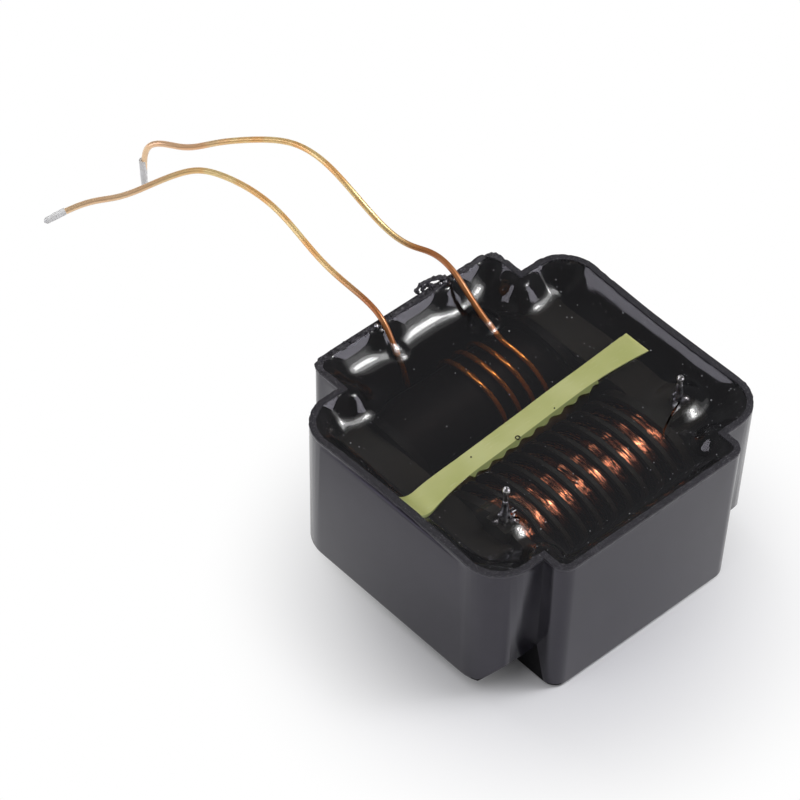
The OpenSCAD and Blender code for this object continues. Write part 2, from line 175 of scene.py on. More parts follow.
# Camera, found from the case's edges in the photograph, in millimetres and degrees
def add_camera():
    photo_px = 800
    focal_px = 4838.0
    azimuth, elevation, roll = (math.radians(a) for a in (-44.48, 46.97, 2.71))
    distance = 763.6
    target = Vector((-15.3, 13.1, 30.8))
    back = Vector((math.sin(azimuth) * math.cos(elevation),
                   -math.cos(azimuth) * math.cos(elevation), math.sin(elevation)))
    right = (-back).cross(Vector((0, 0, 1))).normalized()
    up = right.cross(-back)
    turned_right = right * math.cos(roll) + up * math.sin(roll)
    turned_up = up * math.cos(roll) - right * math.sin(roll)
    data = bpy.data.cameras.new("view")
    data.sensor_width = 36.0
    data.lens = focal_px * data.sensor_width / photo_px
    data.clip_end = 20
    camera = placed("view", data)
    axes = Matrix((turned_right, turned_up, back)).transposed().to_4x4()
    camera.matrix_world = Matrix.Translation((target + back * distance) * MM) @ axes
    bpy.context.scene.camera = camera


add_camera()


# Shader maths
class Signal:
    """A value that varies over a surface. Sums and products of signals add Math nodes."""

    def __init__(self, finish, node, output):
        self.finish = finish
        self.node = node
        self.socket = node.outputs[output]

    def other(self, output):
        return Signal(self.finish, self.node, output)

    def maths(self, operation, *values):
        inputs = dict(enumerate(values))
        return self.finish.step("ShaderNodeMath", {"operation": operation}, inputs)

    def __add__(self, value):
        return self.maths("ADD", self, value)

    __radd__ = __add__

    def __sub__(self, value):
        return self.maths("SUBTRACT", self, value)

    def __rsub__(self, value):
        return self.maths("SUBTRACT", value, self)

    def __mul__(self, value):
        return self.maths("MULTIPLY", self, value)

    __rmul__ = __mul__

    def __truediv__(self, value):
        return self.maths("DIVIDE", self, value)

    def __pow__(self, value):
        return self.maths("POWER", self, value)

    def at_least(self, value):
        return self.maths("MAXIMUM", self, value)

    def folded(self, reach):
        """Goes from 0 up to the reach and back to 0, over and over."""
        return self.maths("PINGPONG", self, reach)

    def over(self, edge, width):
        """0 below the edge, 1 above edge + width, smooth between."""
        return self.finish.step("ShaderNodeMapRange", {"interpolation_type": "SMOOTHSTEP"},
                                {"Value": self, "From Min": edge, "From Max": edge + width})


class Finish:
    """A material that is built up step by step, on Object coordinates in millimetres."""

    def __init__(self, name):
        self.material = bpy.data.materials.new(name)
        self.material.use_nodes = True
        self.tree = self.material.node_tree
        self.tree.nodes.clear()
        self.end = self.tree.nodes.new("ShaderNodeOutputMaterial")
        metres = self.step("ShaderNodeTexCoord", output="Object")
        self.place = self.step("ShaderNodeVectorMath", {"operation": "SCALE"},
                               {0: metres, "Scale": 1 / MM})

    def step(self, kind, settings=None, inputs=None, output=0):
        """A node with its settings, and the values or links of its sockets."""
        node = self.tree.nodes.new(kind)
        for name, value in (settings or {}).items():
            setattr(node, name, value)
        for name, value in (inputs or {}).items():
            if isinstance(value, Signal):
                self.tree.links.new(value.socket, node.inputs[name])
            else:
                node.inputs[name].default_value = value
        return Signal(self, node, output)

    def along(self, axis):
        """How far a place lies along X, Y or Z."""
        return self.step("ShaderNodeSeparateXYZ", {}, {0: self.place}, axis)

    def noise(self, scale, detail=3.0, rough=0.55, finer=(1, 1, 1)):
        """Noise in spots of about 1 / scale millimetres, finer or drawn out along X, Y and Z."""
        place = self.step("ShaderNodeVectorMath", {"operation": "MULTIPLY"},
                          {0: self.place, 1: finer})
        return self.step("ShaderNodeTexNoise", {}, {
            "Vector": place, "Scale": scale, "Detail": detail, "Roughness": rough})

    def blend(self, mask, low, high):
        """A colour that goes from low to high as the mask goes from 0 to 1."""
        low, high = (c if isinstance(c, Signal) else (*c, 1) for c in (low, high))
        return self.step("ShaderNodeMix", {"data_type": "RGBA"}, {0: mask, 6: low, 7: high}, 2)

    def bump(self, height, strength, distance_mm):
        return self.step("ShaderNodeBump", {}, {
            "Height": height, "Strength": strength, "Distance": distance_mm * MM})

    def surface(self, **inputs):
        """The main shader. Its inputs are named in small letters with underscores."""
        names = {key: key.replace("_", " ").title() for key in inputs}
        names.update(ior="IOR", specular_ior_level="Specular IOR Level")
        values = {names[key]: (*value, 1) if isinstance(value, tuple) else value
                  for key, value in inputs.items()}
        return self.step("ShaderNodeBsdfPrincipled", {}, values)

    def done(self, shader, output="Surface"):
        self.tree.links.new(shader.socket, self.end.inputs[output])
        return self.material

    def coated(self, **inputs):
        """The material, with the main shader as its surface."""
        return self.done(self.surface(**inputs))


def moulded_case_plastic():
    """Black plastic with a fine grain. Its rim is dull and chipped, and torn at the back."""
    finish = Finish("moulded_case_plastic")
    grain = finish.noise(4.0, 4.0)
    mottle = finish.noise(0.25, 3.0)
    scuffs = finish.noise(1.2, 5.0, 0.7, finer=(0.5, 0.5, 0.08))
    rim = finish.along("Z").over(rim_z - 0.7, 0.5)
    back_lobe = finish.along("Y").over(wing_back + 0.6, 4.0)
    chips = finish.noise(4.5, 5.0, 0.75).over(0.56, 0.07) * rim
    fibres = finish.noise(1.0, 4.0, 0.7, finer=(0.7, 3.0, 3.0))
    torn = rim * back_lobe * fibres.over(0.42, 0.2)
    colour = finish.blend(mottle.over(0.35, 0.3), (0.006, 0.0053, 0.009), (0.010, 0.0088, 0.014))
    colour = finish.blend(rim, colour, (0.019, 0.0185, 0.020))
    colour = finish.blend(torn * 0.7, colour, (0.07, 0.068, 0.07))
    colour = finish.blend(chips, colour, (0.17, 0.165, 0.17))
    rough = 0.16 + 0.10 * scuffs + 0.34 * rim
    relief = grain * 0.3 + scuffs * 0.15 + rim * finish.noise(2.2, 6.0, 0.75) * 9.0
    normal = finish.bump(relief, 0.3, 0.05)
    return finish.coated(base_color=colour, roughness=rough, normal=normal,
                         specular_tint=(0.87, 0.83, 1.0), ior=1.51)


def wetted_plastic():
    """The case's inside, which shows no gloss of its own under the resin."""
    finish = Finish("wetted_plastic")
    tone = finish.noise(0.5, 3.0)
    colour = finish.blend(tone, (0.006, 0.006, 0.007), (0.012, 0.012, 0.013))
    return finish.coated(base_color=colour, roughness=0.6, specular_ior_level=0.05)


def clear_resin():
    """Clear epoxy with a faint haze, which darkens with depth and lets light through."""
    finish = Finish("clear_resin")
    haze_share = 0.014
    waves = finish.noise(0.12, 2.0)
    normal = finish.bump(waves, 0.10, 0.5)
    tint = (0.95, 0.93, 0.91)
    glass = finish.surface(base_color=tint, roughness=0.08, ior=1.5, transmission_weight=1.0,
                           normal=normal)
    haze = finish.step("ShaderNodeBsdfDiffuse", {}, {"Color": (0.60, 0.60, 0.66, 1)})
    glass = finish.step("ShaderNodeMixShader", {}, {0: haze_share, 1: glass, 2: haze})
    through = finish.step("ShaderNodeBsdfTransparent", {}, {"Color": (*tint, 1)})
    shadow_ray = finish.step("ShaderNodeLightPath", output="Is Shadow Ray")
    mixed = finish.step("ShaderNodeMixShader", {}, {0: shadow_ray, 1: glass, 2: through})
    inside = finish.step("ShaderNodeVolumeAbsorption", {}, {
        "Color": (0.55, 0.36, 0.28, 1), "Density": 120.0})
    finish.done(inside, "Volume")
    return finish.done(mixed)


def bobbin_plastic(name, dark, light):
    finish = Finish(name)
    colour = finish.blend(finish.noise(0.6), dark, light)
    normal = finish.bump(finish.noise(3.0, 4.0), 0.3, 0.04)
    return finish.coated(base_color=colour, roughness=0.5, specular_ior_level=0.05, normal=normal)


def sintered_ferrite():
    finish = Finish("sintered_ferrite")
    specks = finish.noise(9.0, 5.0, 0.8)
    colour = finish.blend(specks.over(0.4, 0.3), (0.014, 0.0155, 0.014), (0.028, 0.031, 0.028))
    normal = finish.bump(specks, 0.4, 0.05)
    return finish.coated(base_color=colour, roughness=0.6, specular_ior_level=0.05, normal=normal)


def fine_copper():
    """Copper that shines in streaks in each slot's middle, with painted shade by the flanges."""
    finish = Finish("fine_copper")
    streaks = finish.noise(1.0, 4.0, 0.7, finer=(5.0, 0.6, 0.6))
    slots = (finish.along("X") - set_shift) / sec_pitch
    from_flange = slots.folded(0.5)
    # Painted shade: the copper's colour goes dark towards the flanges, so the glints stay in the
    # slot's middle.
    bright = streaks.over(0.41, 0.16) * from_flange.over(0.20, 0.14)
    colour = finish.blend(bright, (0.010, 0.003, 0.002), (0.66, 0.27, 0.15))
    rough = 0.13 + 0.05 * streaks
    normal = finish.bump(streaks, 0.25, 0.05)
    return finish.coated(base_color=colour, metallic=1.0, roughness=rough, normal=normal)


def enamelled_copper():
    """Golden wire, paler at far ends; painted shade makes it redder near the case, amber in resin.
    """
    finish = Finish("enamelled_copper")
    cloud = finish.noise(0.22, 3.0)
    y = finish.along("Y")
    far_end = y.over(68.0, 8.0)
    near_case_painted_shade = (43.0 - y).over(0.0, 11.0)
    potted = (resin_z - back_dip + 0.2 - finish.along("Z")).over(0.0, 0.4)
    colour = finish.blend(cloud.over(0.35, 0.3), (1.0, 0.54, 0.19), (1.0, 0.75, 0.34))
    colour = finish.blend(far_end * 0.6, colour, (1.0, 0.66, 0.46))
    # Painted shade: darker and redder near the case, and darker amber under the resin.
    colour = finish.blend(near_case_painted_shade * 0.85, colour, (0.44, 0.12, 0.03))
    colour = finish.blend(potted, colour, (0.68, 0.27, 0.05))
    return finish.coated(base_color=colour, metallic=0.5 + 0.4 * potted,
                         roughness=0.34 - 0.24 * potted, coat_weight=0.4, coat_roughness=0.14)


def dry_width(past_right, past_left):
    """The strip's width, from how far a place is past the start of the flare at each end."""
    right = right_flare * (past_right / right_flare_l) ** 2
    left = left_flare * (past_left / left_flare_l) ** 2
    return strip_w + right + left


def insulation_film():
    """Yellow-green film with faint fibres, darker where it is sunk, with painted shade on its
    curled end.
    """
    finish = Finish("insulation_film")
    fibres = finish.noise(0.8, 4.0, 0.65, finer=(0.5, 4.0, 4.0))
    blush = finish.noise(0.07, 2.0)
    colour = finish.blend(blush.over(0.35, 0.3), (0.50, 0.51, 0.18), (0.62, 0.62, 0.27))
    colour = finish.blend(fibres.over(0.55, 0.2) * 0.35, colour, (0.72, 0.72, 0.42))
    x = finish.along("X")
    # Painted shade: the curled end is darker.
    curled = (-23.5 - x).over(0.0, 4.0)
    colour = finish.blend(curled * 0.6, colour, (0.34, 0.34, 0.09))
    dry = dry_width((x - right_flare_x).at_least(0.0), (left_flare_x - x).at_least(0.0))
    past_dry = strip_back + strip_slope * x - dry - finish.along("Y")
    colour = finish.blend(past_dry.over(-0.08, 0.16), colour, (0.20, 0.215, 0.075))
    normal = finish.bump(fibres, 0.15, 0.05)
    return finish.coated(base_color=colour, roughness=0.3, normal=normal, subsurface_weight=0.15)


def spacer_film():
    finish = Finish("spacer_film")
    tone = finish.noise(1.5)
    colour = finish.blend(tone, (0.62, 0.56, 0.42), (0.74, 0.68, 0.52))
    return finish.coated(base_color=colour, roughness=0.5)


def solder(name, dark, light, metallic, lump_mm):
    """Lumpy solder in two tones."""
    finish = Finish(name)
    lumps = finish.noise(0.9, 4.0, 0.6)
    colour = finish.blend(lumps.over(0.38, 0.25), dark, light)
    normal = finish.bump(lumps, 0.5, lump_mm)
    return finish.coated(base_color=colour, metallic=metallic, roughness=0.32, normal=normal)


def tinned_steel():
    finish = Finish("tinned_steel")
    drag = finish.noise(2.0, 4.0, 0.6, finer=(1.0, 1.0, 0.3))
    colour = finish.blend(drag.over(0.4, 0.25), (0.40, 0.39, 0.38), (0.85, 0.85, 0.84))
    normal = finish.bump(drag, 0.5, 0.12)
    return finish.coated(base_color=colour, metallic=1.0, roughness=0.3, normal=normal)


def pale_dust():
    finish = Finish("pale_dust")
    tone = finish.noise(0.8)
    colour = finish.blend(tone.over(0.45, 0.2), (0.30, 0.30, 0.32), (0.85, 0.86, 0.9))
    return finish.coated(base_color=colour, roughness=0.35)


CASE_PLASTIC = moulded_case_plastic()
WETTED = wetted_plastic()
RESIN = clear_resin()
RIBBED_BOBBIN = bobbin_plastic("ribbed_bobbin", (0.012, 0.012, 0.011), (0.020, 0.021, 0.019))
PLAIN_BOBBIN = bobbin_plastic("plain_bobbin", (0.002, 0.002, 0.002), (0.004, 0.004, 0.004))
FERRITE = sintered_ferrite()
FINE_COPPER = fine_copper()
ENAMEL = enamelled_copper()
FILM = insulation_film()
SPACER = spacer_film()
SOLDER = solder("dull_solder", (0.16, 0.157, 0.16), (0.66, 0.66, 0.68), 1.0, 0.2)
TIP_SOLDER = solder("bright_solder", (0.85, 0.84, 0.83), (0.98, 0.98, 0.98), 0.1, 0.03)
TINNED = tinned_steel()
DUST = pale_dust()


# Modelling helpers. Sizes are in millimetres until a piece is finished.
def make_active(piece):
    for item in bpy.context.view_layer.objects:
        item.select_set(False)
    bpy.context.view_layer.objects.active = piece
    piece.select_set(True)


def fresh(name):
    """Names the piece that was just added."""
    piece = bpy.context.view_layer.objects.active
    piece.name = name
    piece.data.name = name
    return piece


def settle(piece):
    """Puts a piece's place, turn and size into its mesh."""
    make_active(piece)
    bpy.ops.object.transform_apply(location=True, rotation=True, scale=True)


def edit_all():
    """Goes to edit mode with everything selected."""
    bpy.ops.object.mode_set(mode="EDIT")
    bpy.ops.mesh.select_all(action="SELECT")


def turn_outwards():
    """Points every face outwards and leaves edit mode."""
    bpy.ops.mesh.select_all(action="SELECT")
    bpy.ops.mesh.normals_make_consistent(inside=False)
    bpy.ops.object.mode_set(mode="OBJECT")


def pick(piece, kind, test):
    """Selects, in edit mode, the edges or faces that pass the test, and counts them."""
    modes = {"edges": (False, True, False), "faces": (False, False, True)}
    bpy.context.tool_settings.mesh_select_mode = modes[kind]
    bpy.ops.mesh.select_all(action="DESELECT")
    shape = bmesh.from_edit_mesh(piece.data)
    count = 0
    for item in getattr(shape, kind):
        if test(item):
            item.select_set(True)
            count += 1
    shape.select_flush_mode()
    bmesh.update_edit_mesh(piece.data)
    return count


def apply_modifier(piece, kind, **settings):
    make_active(piece)
    modifier = piece.modifiers.new(kind.lower(), kind)
    for name, value in settings.items():
        setattr(modifier, name, value)
    bpy.ops.object.modifier_apply(modifier=modifier.name)


def combine(piece, tool, operation):
    """Adds a tool to a piece, cuts it out or keeps what both share, and deletes the tool."""
    apply_modifier(piece, "BOOLEAN", operation=operation, object=tool, solver="EXACT")
    bpy.data.objects.remove(tool)


def join(pieces, name):
    make_active(pieces[0])
    for piece in pieces[1:]:
        piece.select_set(True)
    bpy.ops.object.join()
    return fresh(name)


def smooth_sides(piece, degrees):
    make_active(piece)
    bpy.ops.object.shade_smooth_by_angle(angle=math.radians(degrees))


def finish_piece(piece, material, nodes=()):
    """Brings a piece from millimetres to metres, gives it its finish and sets it on the body."""
    piece.scale = (MM, MM, MM)
    settle(piece)
    piece.data.materials.clear()
    piece.data.materials.append(material)
    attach(piece, "root")
    if nodes:
        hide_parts(*nodes)


def moulded_block(name, w, l, r, low, high, y=0.0):
    """A block with round upright edges, walls that taper downwards and a rounded foot."""
    bpy.ops.mesh.primitive_cube_add(size=1, location=(0, y, (low + high) / 2))
    piece = fresh(name)
    piece.scale = (w, l, high - low)
    settle(piece)
    bpy.ops.object.mode_set(mode="EDIT")
    pick(piece, "edges", lambda e: abs(e.verts[0].co.z - e.verts[1].co.z) > 1)
    bpy.ops.mesh.bevel(offset=r, segments=10, affect="EDGES")
    pick(piece, "faces", lambda f: f.normal.z < -0.9)
    inset = (high - low) * math.tan(draft)
    bpy.ops.transform.resize(value=((w - 2 * inset) / w, (l - 2 * inset) / l, 1),
                             center_override=(0, y, low))
    pick(piece, "edges", lambda e: max(v.co.z for v in e.verts) < low + 0.01)
    bpy.ops.mesh.bevel(offset=foot_r, segments=4, affect="EDGES")
    bpy.ops.object.mode_set(mode="OBJECT")
    return piece


def relief_cut(piece, inward):
    """Slopes the lower front edge of the wings."""
    slope = math.atan2(relief_h, relief_l)
    drop = inward / math.cos(slope)
    edit_all()
    bpy.ops.mesh.bisect(plane_co=(0, -wing_front, wing_lift + relief_h + drop),
                        plane_no=(0, -math.sin(slope), -math.cos(slope)),
                        use_fill=True, clear_outer=True)
    bpy.ops.object.mode_set(mode="OBJECT")


def plus_body(name, inward, raised, top):
    """The plus-shaped body, with its walls moved inwards and its floor raised."""
    wings = moulded_block("wings", case_w - 2 * inward, wing_front + wing_back - 2 * inward,
                          wing_r - inward, wing_lift + raised, top, wing_y)
    relief_cut(wings, raised)
    lobes = moulded_block(name, lobe_w - 2 * inward, case_l - 2 * inward, lobe_r - inward,
                          raised, top)
    combine(lobes, wings, "UNION")
    return lobes


def fine_rim(piece, low, longest):
    """Cuts the long edges near the rim into short ones."""
    edit_all()
    bpy.ops.mesh.quads_convert_to_tris()
    for height in (low - 0.6, low, low + 0.5):
        bpy.ops.mesh.select_all(action="SELECT")
        bpy.ops.mesh.bisect(plane_co=(0, 0, height), plane_no=(0, 0, 1))
    for _ in range(8):
        count = pick(piece, "edges", lambda e: e.calc_length() > longest
                     and min(v.co.z for v in e.verts) > low - 0.01)
        if not count:
            break
        bpy.ops.mesh.subdivide(number_cuts=1)
    pick(piece, "faces", lambda f: f.calc_center_median().z > low - 0.01)
    bpy.ops.mesh.quads_convert_to_tris()
    bpy.ops.object.mode_set(mode="OBJECT")


def ramp(value):
    """The value, held between 0 and 1."""
    return min(1.0, max(0.0, value))


def eased(value):
    """The value, held between 0 and 1 with soft ends."""
    held = ramp(value)
    return held * held * (3 - 2 * held)


def wobble(point, scale, seed):
    """A smooth random value between -1 and 1 for a place, so that the surface stays whole."""
    return noise.noise(Vector((point[0] * scale + seed, point[1] * scale, point[2] * scale)))


def roughen(piece, reach, scale, seed):
    """Pushes a surface to and fro by up to a reach along X, Y and Z."""
    for vertex in piece.data.vertices:
        vertex.co += Vector(reach) * wobble(vertex.co, scale, seed)


def side_bow(y):
    """How far the rim of the long side walls bows inwards."""
    along = (y - wing_y) / 17
    return rim_bow * max(0.0, 1 - along * along)


def ragged_rim(piece, low):
    """Roughens the rim, most of all over the back lobe, and bows the long walls inwards."""
    for vertex in piece.data.vertices:
        x, y, z = vertex.co
        rise = ramp((z - low) / (rim_z - low))
        back = ramp((y - 22) / 4)
        amount = 0.17 + 0.36 * back
        side = wobble((x, y, 0), 0.9, 3) + 0.6 * wobble((x, y * 4, 0), 2.7, 9)
        vertex.co.z -= rise * amount * (0.1 + 0.9 * abs(wobble((x, y * 3, 0), 1.3, 20)))
        outward = Vector((x, y, 0)).normalized()
        vertex.co += outward * (side * rise * amount * 0.7)
        if abs(x) > case_w / 2 - 3:
            vertex.co.x -= math.copysign(side_bow(y) * max(0.0, z / rim_z) ** 2, x)
        for axis, size in enumerate((case_w, case_l)):
            limit = size / 2 - 0.01
            vertex.co[axis] = max(-limit, min(limit, vertex.co[axis]))


def case_shell():
    """The case, with one finish outside and another where the resin wets it."""
    shell = plus_body("case_shell", 0, 0, rim_z)
    cavity = plus_body("cavity", rim_t, floor_t, rim_z + 1)
    combine(shell, cavity, "DIFFERENCE")
    apply_modifier(shell, "BEVEL", width=0.22, segments=2, limit_method="ANGLE",
                   angle_limit=math.radians(50))
    fine_rim(shell, rim_z - rough_rim_h, 0.75)
    ragged_rim(shell, rim_z - rough_rim_h)
    smooth_sides(shell, 38)
    finish_piece(shell, CASE_PLASTIC, ["case"])
    shell.data.materials.append(WETTED)
    for face in shell.data.polygons:
        x, y, z = face.center / MM
        inside = wall_gap(x, y, -0.3) > 0
        if inside and z < rim_z - 0.35:
            face.material_index = 1


# Distances to the walls, for the resin's surface
def soft_max(a, b, sharp=1.3):
    """The larger value, with a smooth change from one to the other."""
    high = max(a, b)
    return high + math.log(math.exp(sharp * (a - high)) + math.exp(sharp * (b - high))) / sharp


def inside_block(x, y, half_x, half_y, r, centre_y):
    """Distance from a point to the edge of a round-cornered rectangle, from inside."""
    dx = abs(x) - (half_x - r)
    dy = abs(y - centre_y) - (half_y - r)
    if dx > 0 and dy > 0:
        return r - math.hypot(dx, dy)
    return r - soft_max(dx, dy)


def wall_gap(x, y, wall=0.0):
    """How far a point lies inside the cavity, whose walls are moved in by the last value."""
    wings = inside_block(x, y, case_w / 2 - rim_t - wall - side_bow(y),
                         (wing_front + wing_back) / 2 - rim_t - wall, wing_r - rim_t, wing_y)
    lobes = inside_block(x, y, lobe_w / 2 - rim_t - wall, case_l / 2 - rim_t - wall,
                         lobe_r - rim_t, 0)
    return math.hypot(max(wings, 0), max(lobes, 0))


# Mounds of resin round the pins and leads: centre, height, and reach along X and Y
mounds = [
    ((left_pin_x, pin_y), 1.75, 4.5, 4.2), ((right_pin_x, pin_y), 1.6, 4.5, 3.9),
    ((-5.2, 24.2), 0.3, 1.5, 1.5), ((10.0, 20.7), 1.2, 2.3, 2.3)]
# Places where the resin draws up to the rim in a soft slope, with their reach
necks = [
    ((-18.6, 28.0), 2.6), ((18.6, 28.0), 2.4), ((-5.6, 28.6), 2.4), ((8.6, 28.8), 2.6),
    ((-18.6, 21.0), 2.6), ((18.6, 21.0), 2.8), ((-28.0, 20.4), 3.0), ((27.0, 20.6), 3.2),
    ((28.0, -22.0), 4.2), ((-28.0, -22.0), 4.2), ((18.6, -23.4), 2.6), ((-18.6, -23.4), 2.6),
    ((18.6, -28.0), 2.6), ((-18.6, -28.0), 2.6)]
# How steep the surface hangs on the rim, and the even slope that it has for a short run
rim_slope = math.radians(63)
even_slope = math.radians(37)
even_run = 0.2


def wall_meniscus(steps=60):
    """Distances from a wall, and a liquid's height there, as shares of its rise at the wall."""
    table = []
    for k in range(steps):
        slope = rim_slope * (1 - k / steps) ** 1.5
        run = math.acosh(1 / math.sin(slope / 2)) - 2 * math.cos(slope / 2)
        height = 2 * math.sin(slope / 2)
        if slope > even_slope:
            height += even_run * math.tan(even_slope)
        else:
            run += even_run
        table.append((run, height))
    start, top = table[0]
    return [((run - start) / top, height / top) for run, height in table]


meniscus = wall_meniscus()


def meniscus_height(gap):
    """The liquid's height at a distance from the wall, from the nearest steps of the table."""
    for (near, high), (far, low) in zip(meniscus, meniscus[1:]):
        if gap <= far:
            return high + (low - high) * (gap - near) / (far - near)
    return 0.0


def resin_height(x, y):
    """Height of the resin's surface over its level."""
    gap = max(0.0, wall_gap(x, y))
    dip = back_dip * eased((y - 3) / 12) + front_dip * eased((-5 - y) / 4)
    ceiling = rim_z - resin_z - 0.2
    drop = ceiling + dip
    near = max(math.exp(-((x - nx) ** 2 + (y - ny) ** 2) / reach ** 2)
               for (nx, ny), reach in necks)
    steep = drop * meniscus_height(gap / drop)
    soft = drop * math.exp(-(gap / (1.25 * drop)) ** 2)
    rise = steep + (soft - steep) * ramp(1.3 * near) - dip
    for (cx, cy), height, reach_x, reach_y in mounds:
        rise += height * math.exp(-math.hypot((x - cx) / reach_x, (y - cy) / reach_y) ** 4)
    return min(rise, ceiling)


def resin_body():
    """The resin: a fine grid that is sunk to a block, cut to the cavity and then shaped."""
    step = 0.28
    columns, rows = round(case_w / step), round(case_l / step)
    bpy.ops.mesh.primitive_grid_add(x_subdivisions=columns, y_subdivisions=rows, size=1,
                                    location=(0, 0, resin_z))
    resin = fresh("resin_body")
    resin.scale = (case_w, case_l, 1)
    settle(resin)
    edit_all()
    bpy.ops.mesh.extrude_region_move(TRANSFORM_OT_translate={"value": (0, 0, -resin_z)})
    turn_outwards()
    cavity = plus_body("cavity", rim_t - resin_sink, floor_t - resin_sink, rim_z + 1)
    combine(resin, cavity, "INTERSECT")
    for vertex in resin.data.vertices:
        if vertex.co.z > resin_z - 0.01:
            vertex.co.z += resin_height(vertex.co.x, vertex.co.y)
    smooth_sides(resin, 60)
    finish_piece(resin, RESIN, ["potting_resin"])


# Tubes along smooth routes
def smooth_route(points, cuts):
    """Points along a soft curve through the given ones."""
    points = [Vector(p) for p in points]
    out = []
    for i in range(len(points) - 1):
        before = points[max(i - 1, 0)]
        start, end = points[i], points[i + 1]
        after = points[min(i + 2, len(points) - 1)]
        for k in range(cuts):
            t = k / cuts
            out.append(0.5 * (2 * start + (end - before) * t
                              + (2 * before - 5 * start + 4 * end - after) * t * t
                              + (3 * start - before - 3 * end + after) * t ** 3))
    out.append(points[-1])
    return out


def softened(points, rounds=40):
    """The same points with the short kinks evened out; both ends stay."""
    for _ in range(rounds):
        inner = [(a + 2 * b + c) / 4 for a, b, c in zip(points, points[1:], points[2:])]
        points = [points[0], *inner, points[-1]]
    return points


def tube(name, points, radius, sides=3, radii=None):
    """A closed round tube. More sides make it rounder, and radii are factors along it."""
    data = bpy.data.curves.new(name, "CURVE")
    data.dimensions = "3D"
    data.bevel_depth = radius
    data.bevel_resolution = sides
    data.use_fill_caps = True
    spline = data.splines.new("POLY")
    spline.points.add(len(points) - 1)
    for i, point in enumerate(points):
        spline.points[i].co = (*point, 1)
        spline.points[i].radius = radii[i] if radii else 1.0
    make_active(placed(name, data))
    bpy.ops.object.convert(target="MESH")
    piece = fresh(name)
    edit_all()
    bpy.ops.mesh.remove_doubles(threshold=0.0001)
    turn_outwards()
    smooth_sides(piece, 50)
    return piece


def turn_point(degrees):
    """A place on the primary turns. The half turn below 0 degrees comes from the left lead."""
    a = math.radians(degrees)
    if degrees < 0:
        x = lead_in_x + (turn_x0 - lead_in_x) * (degrees + 180) / 180
    else:
        x = turn_x0 + turn_pitch * degrees / 360
    return Vector((x, pri_y - turn_r * math.cos(a), axis_z + turn_r * math.sin(a)))


def primary_wire():
    """The left lead, the turns and the right lead as one wire."""
    turns = [turn_point(a) for a in range(-180, last_turn_degrees + 1, 10)]
    left = softened(smooth_route(list(reversed(left_route)), 5))
    right = softened(smooth_route(right_route, 5))
    wire = tube("primary_wire", left + turns + right, wire_d / 2, 3)
    finish_piece(wire, ENAMEL, ["primary_winding"])


def lead_tip(side, route, length):
    """Solder on the wire's end: a sleeve that swells, with a round nose."""
    end = Vector(route[-1])
    back = (end - Vector(route[-2])).normalized()
    stations = 14
    overhang = 0.5
    points = [end + back * (overhang - (length + overhang) * (1 - k / stations))
              for k in range(stations + 1)]
    shape = []
    for k in range(stations + 1):
        t = k / stations
        nose = math.sqrt(max(0.02, 1 - max(0.0, (t - 0.86) / 0.14) ** 2))
        shape.append(nose * (1.12 + 0.08 * math.sin(3.1 * t + 1) + 0.02 * math.sin(17 * t)))
    tip = tube("lead_tip_solder_" + side, points, wire_d / 2, 4, shape)
    finish_piece(tip, TIP_SOLDER, ["lead_tip_" + side])


def flange_x(i):
    """Middle of a flange of the ribbed bobbin, counted from the left."""
    return set_shift + (i - sec_slots / 2) * sec_pitch


def flat_strand():
    """One ring of the top layer, flattened against the layer under it."""
    bpy.ops.mesh.primitive_torus_add(major_segments=120, minor_segments=6, major_radius=copper_r,
                                     minor_radius=strand_r, rotation=(0, math.pi / 2, 0))
    strand = fresh("strand")
    settle(strand)
    for vertex in strand.data.vertices:
        radial = math.hypot(vertex.co.y, vertex.co.z)
        flat = (copper_r + (radial - copper_r) * 0.4) / radial
        vertex.co.y *= flat
        vertex.co.z *= flat
    return strand


def loose_ring(strand, low, high, k, chance):
    """A copy of the strand in a slot from low to high, a little tilted, waved and out of line."""
    room = high - low - 2 * strand_r
    x = low + strand_r + room * (k + 0.5 + chance.uniform(-0.35, 0.35)) / strands_a_slot
    spare = min(x - low, high - x) - strand_r
    tilt = chance.uniform(-1, 1) * max(0.0, min(spare, 0.5)) / copper_r
    ring = copied(strand)
    grow = 1 + chance.uniform(-0.012, 0.010)
    ring.scale = (1, grow, grow)
    ring.rotation_euler = (chance.uniform(0, 6.28), 0, 0)
    ring.data.transform(Matrix.Rotation(tilt, 4, "Z"))
    phase = chance.uniform(0, 6.28)
    for vertex in ring.data.vertices:
        angle = math.atan2(vertex.co.z, vertex.co.y)
        push = 0.02 * math.sin(13 * angle + phase) + 0.015 * math.sin(29 * angle - phase)
        vertex.co.y *= 1 + push / copper_r
        vertex.co.z *= 1 + push / copper_r
    ring.location = (x, sec_y, axis_z)
    settle(ring)
    return ring


def end_wire(x, pin_x):
    """The fine wire's end, up from its slot and over to a pin."""
    route = [(x, tail_y + 0.6, 23.4), (x, tail_y, 25.2), (x, tail_y, 27.0),
             (x * 0.6 + pin_x * 0.4, tail_y + 1.0, 27.9), (pin_x, pin_y - 0.5, 27.4)]
    return tube("end_wire", smooth_route(route, 6), end_wire_r, 1)


